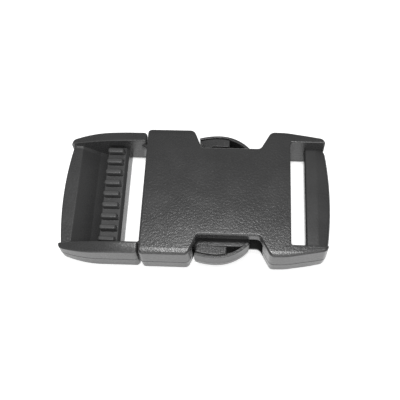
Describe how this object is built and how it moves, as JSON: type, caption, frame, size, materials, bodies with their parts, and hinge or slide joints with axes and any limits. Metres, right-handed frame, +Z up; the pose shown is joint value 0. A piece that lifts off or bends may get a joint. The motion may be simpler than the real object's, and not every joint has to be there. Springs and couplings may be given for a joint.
{
  "type": "side-release buckle",
  "caption": "Side-release buckle for 25 mm webbing: a flat socket with a fixed web bar and a plug with two sprung latch arms and a ribbed adjuster bar.",
  "frame": {"origin": "under the middle of the closed buckle, on the plane it rests on", "axes": "+X along the pull direction toward the socket's web bar, +Y across the buckle, +Z up out of the outer face"},
  "size_m": [0.0639, 0.0326, 0.0099],
  "materials": {
    "socket_black": "fine spark-eroded grain, matte",
    "web_bar_black": "smoother moulded face",
    "plug_black": "fine spark-eroded grain, matte",
    "ladder_black": "smoother moulded face",
    "guide_black": "smooth, matte",
    "arm_left_black": "grained grip block, smooth edges",
    "arm_right_black": "grained grip block, smooth edges"
  },
  "bodies": {
    "socket": {"socket_housing": "socket_black", "socket_web_bar": "web_bar_black"},
    "plug": {"plug_frame": "plug_black", "plug_ladder_bar": "ladder_black", "plug_centre_guide": "guide_black"},
    "arm_left": {"latch_arm_left": "arm_left_black"},
    "arm_right": {"latch_arm_right": "arm_right_black"}
  },
  "joints": [
    {"name": "plug_slide", "type": "slide", "parent": "socket", "child": "plug", "axis": [-1, 0, 0], "range_m": [0, 0.036], "deforming": ["latch_arm_left", "latch_arm_right"]},
    {"name": "arm_left_flex", "type": "hinge", "parent": "plug", "child": "arm_left", "pos_m": [-0.0089, 0.0113, 0.00435], "axis": [0, 0, -1], "range_deg": [0, 8], "stiffness_Nm_per_rad": 0.6},
    {"name": "arm_right_flex", "type": "hinge", "parent": "plug", "child": "arm_right", "pos_m": [-0.0089, -0.0113, 0.00435], "axis": [0, 0, 1], "range_deg": [0, 8], "stiffness_Nm_per_rad": 0.6}
  ]
}
